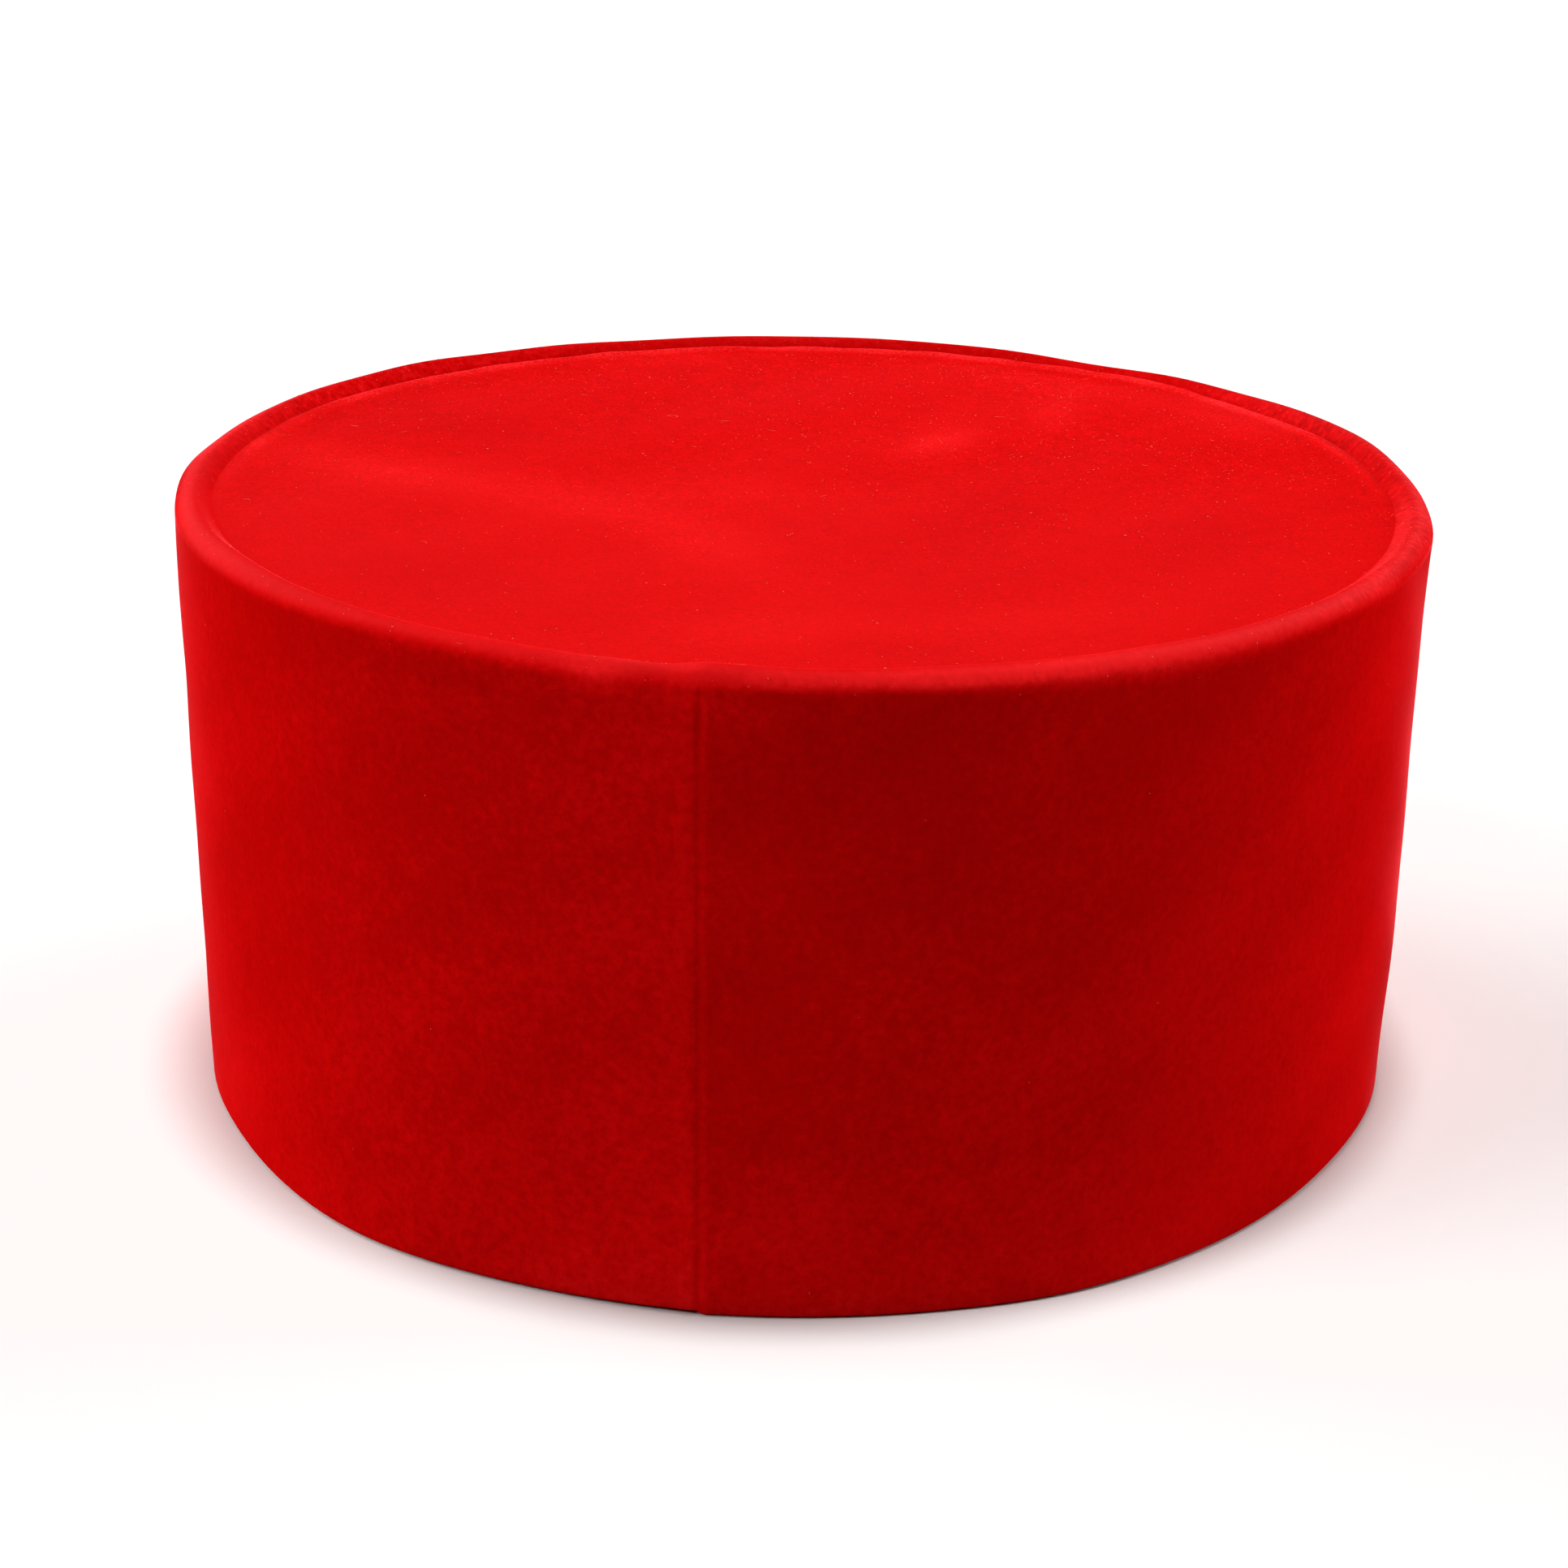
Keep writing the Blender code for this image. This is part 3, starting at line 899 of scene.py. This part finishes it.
def topRise(x, y, depth, angle, facing, edge, look, rng):
    # Height of the top's face: plane waves, and a welt near the line where the rim's velvet comes down, with
    # higher places. Depth and edge are distances in from the rim's outer line, of the place and of that line.
    slow = np.zeros_like(x)
    for length in look["waveLengths"]:
        heading = rng.uniform(0.0, 2.0 * math.pi)
        start = rng.uniform(0.0, 2.0 * math.pi)
        run = (x * math.cos(heading) + y * math.sin(heading)) / length
        slow += np.sin(2.0 * math.pi * run + start)
    inside = ease(depth, edge, edge + look["waveFade"])
    uneven = (1.0 + waves(rng, angle, (9, 16, 31, 47), 0.35)) * ease(np.sin(angle), 0.0, 0.6)
    welt = look["weltHeight"] * uneven * bell(depth - edge - look["weltIn"], look["weltWidth"])
    puffs = roundCap(facing, bumps=topPuffs) * mm * bell(depth - edge, look["puffWidth"])
    return 0.5 * look["wave"] * slow * inside + welt + puffs


def buildTop(cap, look, material, backing):
    # Rings of an oval from the middle out, closer together near the edge, then round the edge and back
    # along the plain underside to the middle. The two middles are single points.
    rng = np.random.default_rng(look["seed"])
    reach = cap["flare"] * (cap["topFace"] - cap["topThickness"]) / cap["height"] - cap["wall"] - look["gap"]
    halfWidth = cap["hemHalfWidth"] + reach
    halfLength = cap["hemHalfLength"] + reach
    # each ring is the edge's oval drawn in by a distance; the middle ones shrink in proportion
    share = np.linspace(0.0, 1.0, look["middleRows"] + 1)[1:-1, None]
    edgeStart = look["edgeReach"]
    depthIn = np.linspace(edgeStart, look["edgeRound"], look["edgeRows"])[:, None]
    turn = np.linspace(0.0, 2.0 * math.pi, look["columns"], endpoint=False)[None, :]
    sine, cosine = np.sin(turn), np.cos(turn)
    faceX = np.concatenate([share * (halfWidth - edgeStart), halfWidth - depthIn]) * cosine
    faceY = np.concatenate([share * (halfLength - edgeStart), halfLength - depthIn]) * sine
    middleDepth = edgeStart + (1.0 - share) * look["middleDepth"]
    depth = np.concatenate([middleDepth, depthIn]) - reach + cap["flare"]
    facing = np.degrees(np.arctan2(halfLength * cosine, -halfWidth * sine))
    edge = cap["rimWidth"] - roundCap(facing, bumps=rimNarrows) * mm
    faceZ = cap["topFace"] + topRise(faceX, faceY, depth, turn, facing, edge, look, rng)
    napAndPaintedLight = topNap(faceX, faceY)
    # a pale line along the rim's velvet: painted highlight on the welt
    paintedEdgeHighlight = bell(depth - edge - look["edgeHighlightIn"], look["edgeHighlightWidth"])
    uneven = 1.0 + waves(rng, turn, (7, 19, 33), 0.25)
    right, left = look["edgeHighlightRight"] * ease(sine, 0.05, 0.35), look["edgeHighlightLeft"] * ease(sine, -0.40, 0.10)
    strength = np.where(cosine > 0.0, right, left)
    strength = strength + (look["edgeHighlightFar"] - strength) * ease(sine, 0.25, 0.9)
    napAndPaintedLight = napAndPaintedLight + strength * paintedEdgeHighlight * uneven
    bend = np.radians(np.linspace(90.0, -90.0, look["roundRows"]))[:, None]
    roundOut = look["edgeRound"] * (np.cos(bend) - 1.0)
    half = cap["topThickness"] / 2.0
    roundUp = cap["topFace"] - half + (half - look["edgeRound"]) * np.sign(np.sin(bend))
    roundUp = roundUp + look["edgeRound"] * np.sin(bend)
    under = np.array(look["underRings"])[:, None]
    sideX = np.concatenate([halfWidth + roundOut, under * halfWidth]) * cosine
    sideY = np.concatenate([halfLength + roundOut, under * halfLength]) * sine
    underside = cap["topFace"] - cap["topThickness"]
    sideZ = np.concatenate([roundUp + 0.0 * cosine, np.full((len(under), look["columns"]), underside)])
    x = np.concatenate([faceX, sideX])
    y = np.concatenate([faceY, sideY])
    z = np.concatenate([faceZ, sideZ])
    points = np.stack([x, y, z], -1).reshape(-1, 3)
    middles = np.array([[0.0, 0.0, float(faceZ[0].mean())], [0.0, 0.0, underside]])
    points = np.concatenate([points, middles])
    rows, columns = x.shape
    r, c = np.arange(rows - 1)[:, None] * columns, np.arange(columns)
    rNext, cNext = r + columns, (c + 1) % columns
    faces = np.stack([r + c, rNext + c, rNext + cNext, r + cNext], -1)
    last = (rows - 1) * columns
    upperFan = np.stack([c, cNext, np.full(columns, rows * columns)], -1)
    lowerFan = np.stack([last + cNext, last + c, np.full(columns, rows * columns + 1)], -1)
    everyFace = faces.reshape(-1, 4).tolist() + upperFan.tolist() + lowerFan.tolist()
    points[:, 0] += cap["sideLean"] * (1.0 - points[:, 2] / cap["height"])
    top = newPiece("velvet_top", points, everyFace, material)
    ring = np.repeat(np.arange(rows - 1), columns) >= len(faceX) + look["roundRows"] - 1
    below = np.concatenate([ring, np.zeros(columns, bool), np.ones(columns, bool)])
    corner = points[np.concatenate([np.ravel(face) for face in (faces, upperFan, lowerFan)])]
    addBacking(top, backing, below, corner[:, 0], corner[:, 1])
    # painted sheen: more towards the seam and at the left, and where the pile is brushed pale
    near = ease(-faceY, -60.0 * mm, 80.0 * mm)
    paintedSheen = look["paintedSheenNear"] * near + look["paintedSheenLeft"] * ease(-faceX, 45.0 * mm, 82.0 * mm)
    values = {
        "napAndPaintedLight": np.clip(napAndPaintedLight, -1.0, 1.0),
        "grain": look["grain"] - look["grainNearLess"] * near,
        "paintedSheen": paintedSheen + look["paintedSheenPale"] * np.clip(napAndPaintedLight, 0.0, 1.0),
    }
    for name, value in values.items():
        everywhere = np.ones(len(points)) if name == "grain" else np.zeros(len(points))
        everywhere[:value.size] = value.ravel()
        addValues(top, name, everywhere)
    return top, np.stack([faceX, faceY, faceZ], -1)


# Lint: specks and short fibres that cling to the pile, most of them towards the far right of the top

lintSet = {
    "top": 2400,
    "rim": 420,
    "wall": 60,
    "speck": (0.10 * mm, 0.45 * mm),    # shortest and longest, the short ones being the most
    "fibre": (0.7 * mm, 2.2 * mm),
    "fibreShare": 0.03,
    "thick": (0.020 * mm, 0.060 * mm),  # half of the thickness; fibres are as thin as the thinnest
    "curl": 0.30,                       # how far it bends, as a share of its length
    "nearShare": 0.25,                  # of what lies at the far right, how much by the seam and at the left
    "leftShare": 0.45,
    "rimNearShare": 0.5,
    "rings": 4,
    "sides": 3,
    "seed": 23,
}


def scatter(grid, weight, count, rng):
    # Random places on a surface of grid points, a cell being as likely as its area times its weight: the
    # place, the outward normal and a random direction along the surface
    across = (grid[:-1, 1:] - grid[:-1, :-1]).reshape(-1, 3)
    along = (grid[1:, :-1] - grid[:-1, :-1]).reshape(-1, 3)
    normal = np.cross(across, along)
    area = np.linalg.norm(normal, axis=1)
    chance = area * weight[:-1, :-1].ravel()
    cell = rng.choice(len(area), count, p=chance / chance.sum())
    shares = rng.random((2, count, 1))
    place = grid[:-1, :-1].reshape(-1, 3)[cell] + across[cell] * shares[0] + along[cell] * shares[1]
    normal = normal[cell] / area[cell][:, None]
    heading = np.cross(normal, rng.normal(size=(count, 3)))
    return place, normal, heading / np.linalg.norm(heading, axis=1)[:, None]


def buildLint(cap, look, rimGrid, faceGrid, material):
    # Each strand is a bent tube that closes to a point at both ends. With s from -1 to 1, its line runs
    # along the surface by s half lengths and sideways by the bend times s squared, and its thickness
    # falls off as the root of one less s squared.
    rng = np.random.default_rng(look["seed"])
    x, y = faceGrid[..., 0], faceGrid[..., 1]
    near, left, rimNear = look["nearShare"], look["leftShare"], look["rimNearShare"]
    right = left + (1.0 - left) * ease(x, -40.0 * mm, 30.0 * mm)
    faceWeight = near + (1.0 - near) * ease(y, -50.0 * mm, 50.0 * mm) * right
    rimY, rollLow = rimGrid[..., 1], cap["height"] - cap["roll"]
    onRim = (rimGrid[..., 2] > rollLow) * (rimNear + (1.0 - rimNear) * ease(rimY, -60.0 * mm, 20.0 * mm))
    onWall = 1.0 * (rimGrid[..., 2] < rollLow)
    beds = [(faceGrid[:, ::-1], faceWeight[:, ::-1], look["top"]), (rimGrid, onRim, look["rim"]),
            (rimGrid, onWall, look["wall"])]
    place, normal, heading = [np.concatenate(part) for part in zip(*[scatter(*bed, rng) for bed in beds])]
    count = len(place)
    isFibre = rng.random(count) < look["fibreShare"]
    speck = look["speck"][0] + (look["speck"][1] - look["speck"][0]) * rng.random(count) ** 2
    length = np.where(isFibre, rng.uniform(*look["fibre"], count), speck)
    thicker = (look["thick"][1] - look["thick"][0]) * rng.random(count) ** 2 * (1.0 - isFibre)
    thick = look["thick"][0] + thicker
    bend = rng.normal(0.0, look["curl"], count) * length
    sideways = np.cross(normal, heading)
    s = np.linspace(-1.0, 1.0, look["rings"] + 2)[None, :, None]
    line = place[:, None] + heading[:, None] * s * length[:, None, None] / 2.0
    line = line + sideways[:, None] * s ** 2 * bend[:, None, None] + normal[:, None] * thick[:, None, None]
    turn = 2.0 * math.pi * np.arange(look["sides"])[:, None] / look["sides"]
    around = sideways[:, None, None] * np.cos(turn) + normal[:, None, None] * np.sin(turn)
    width = thick[:, None, None, None] * np.sqrt(1.0 - s[:, 1:-1, :, None] ** 2)
    rings = line[:, 1:-1, None] + around * width
    points = np.concatenate([rings.reshape(count, -1, 3), line[:, [0, -1]]], 1)
    sides = look["sides"]
    k, j = np.arange(look["rings"] - 1)[:, None] * sides, np.arange(sides)
    kNext, jNext = k + sides, (j + 1) % sides
    quads = np.stack([k + j, k + jNext, kNext + jNext, kNext + j], -1).reshape(-1, 4)
    last = (look["rings"] - 1) * sides
    tip = np.full(sides, last + sides)
    fans = np.concatenate([np.stack([tip, jNext, j], -1), np.stack([tip + 1, last + j, last + jNext], -1)])
    first = (np.arange(count) * points.shape[1])[:, None, None]
    faces = (first + quads).reshape(-1, 4).tolist() + (first + fans).reshape(-1, 3).tolist()
    return newPiece("cotton_lint", points.reshape(-1, 3), faces, material)


# Floor and light

# Distant lamps: watts to the square metre, degrees across, degrees round from the camera to the right, and
# degrees above level. The two side lamps are low and beyond the cap.
lightSet = {
    "overhead": (2.2, 9.0, 0.0, 90.0),
    "left_side": (4.5, 50.0, -120.0, 8.0),
    "right_side": (4.5, 50.0, 120.0, 8.0),
    "front_fill": (1.2, 30.0, -60.0, 38.0),
}
floorSet = {
    "half": 4.0,          # metres from its middle to its edges
    "drop": 0.05 * mm,    # just under the hem
    "paper": "#E7E7E6",
}


def addSun(name, strength, width, turn, rise):
    # A distant lamp whose light comes from a turn about Z, counted from the camera, and a rise above level
    data = bpy.data.lights.new(name, "SUN")
    data.energy = strength
    data.angle = math.radians(width)
    lamp = bpy.data.objects.new(name, data)
    heading = math.radians(cameraSet["azimuth"] + turn)
    height = math.radians(rise)
    level = math.cos(height)
    source = Vector((math.sin(heading) * level, -math.cos(heading) * level, math.sin(height)))
    lamp.rotation_euler = source.to_track_quat("Z", "Y").to_euler()
    bpy.context.scene.collection.objects.link(lamp)


def addStudio(lamps, sheet):
    # A wide sheet of pale paper under the cap, and the lamps
    half = sheet["half"]
    corners = np.array([[-half, -half], [half, -half], [half, half], [-half, half]])
    points = np.column_stack([corners, np.full(4, -sheet["drop"])])
    floor = newPiece("floor", points, [[0, 1, 2, 3]], paperMaterial("background_paper", sheet["paper"]))
    for name, lamp in lamps.items():
        addSun(name, *lamp)
    # the room is white to look at, and gives no light
    world = bpy.data.worlds.new("studio")
    world.use_nodes = True
    tree = world.node_tree
    seen = addNode(tree, "ShaderNodeLightPath", {}).outputs["Is Camera Ray"]
    setNode(tree, tree.nodes["Background"], {"Color": (1.0, 1.0, 1.0, 1.0)}, [("Strength", seen)])
    bpy.context.scene.world = world
    bpy.context.scene.view_settings.view_transform = "Standard"


addStudio(lightSet, floorSet)
print("studio set")

bandVelvet = velvetMaterial("cotton_velvet_band", bandShadedColours, velvetSet, "band")
topVelvet = velvetMaterial("cotton_velvet_top", topLitColours, velvetSet, "top")
backing = wovenMaterial("woven_cotton_backing", weaveSet)
band, bandGrid = buildBand(capSet, bandSet, seamSet, pileAndPaintedLightSet, bandVelvet, backing)
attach(band, "root")
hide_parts("side_band")
print("band sewn:", len(band.data.polygons), "faces")

top, topGrid = buildTop(capSet, topSet, topVelvet, backing)
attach(top, "root")
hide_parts("crown_top")
print("top laid in:", len(top.data.polygons), "faces")

lint = buildLint(capSet, lintSet, bandGrid, topGrid, lintMaterial("cotton_lint", lintColours))
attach(lint, "root")
print("lint scattered:", len(lint.data.polygons), "faces")
